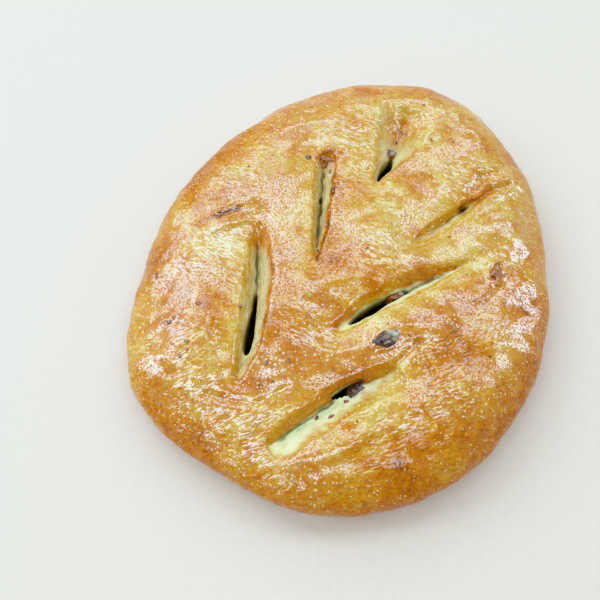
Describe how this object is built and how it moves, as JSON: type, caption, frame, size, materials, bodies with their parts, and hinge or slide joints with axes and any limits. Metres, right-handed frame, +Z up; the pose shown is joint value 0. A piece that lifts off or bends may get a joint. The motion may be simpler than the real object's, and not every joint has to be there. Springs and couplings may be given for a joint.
{
  "type": "fougasse",
  "caption": "Plump leaf-shaped hearth bread with a glazed golden crust, leaf-vein slashes on both sides of a middle rib, and pieces of nut baked in.",
  "frame": {"origin": "on the flat base, under the middle of the loaf's outline", "axes": "+Z up out of the crust, +Y along the longer side of the outline towards the far slashes, +X to the right"},
  "size_m": [0.254, 0.2866, 0.0479],
  "materials": {
    "crust": "egg-glazed golden-brown bread crust with pale crumb in the slashes",
    "nut": "toasted nut, grey-brown"
  },
  "bodies": {
    "root": {"loaf": "crust", "nut_piece_1": "nut", "nut_piece_2": "nut", "nut_piece_3": "nut", "nut_piece_4": "nut", "nut_piece_5": "nut", "nut_piece_6": "nut", "nut_piece_7": "nut"}
  },
  "joints": []
}
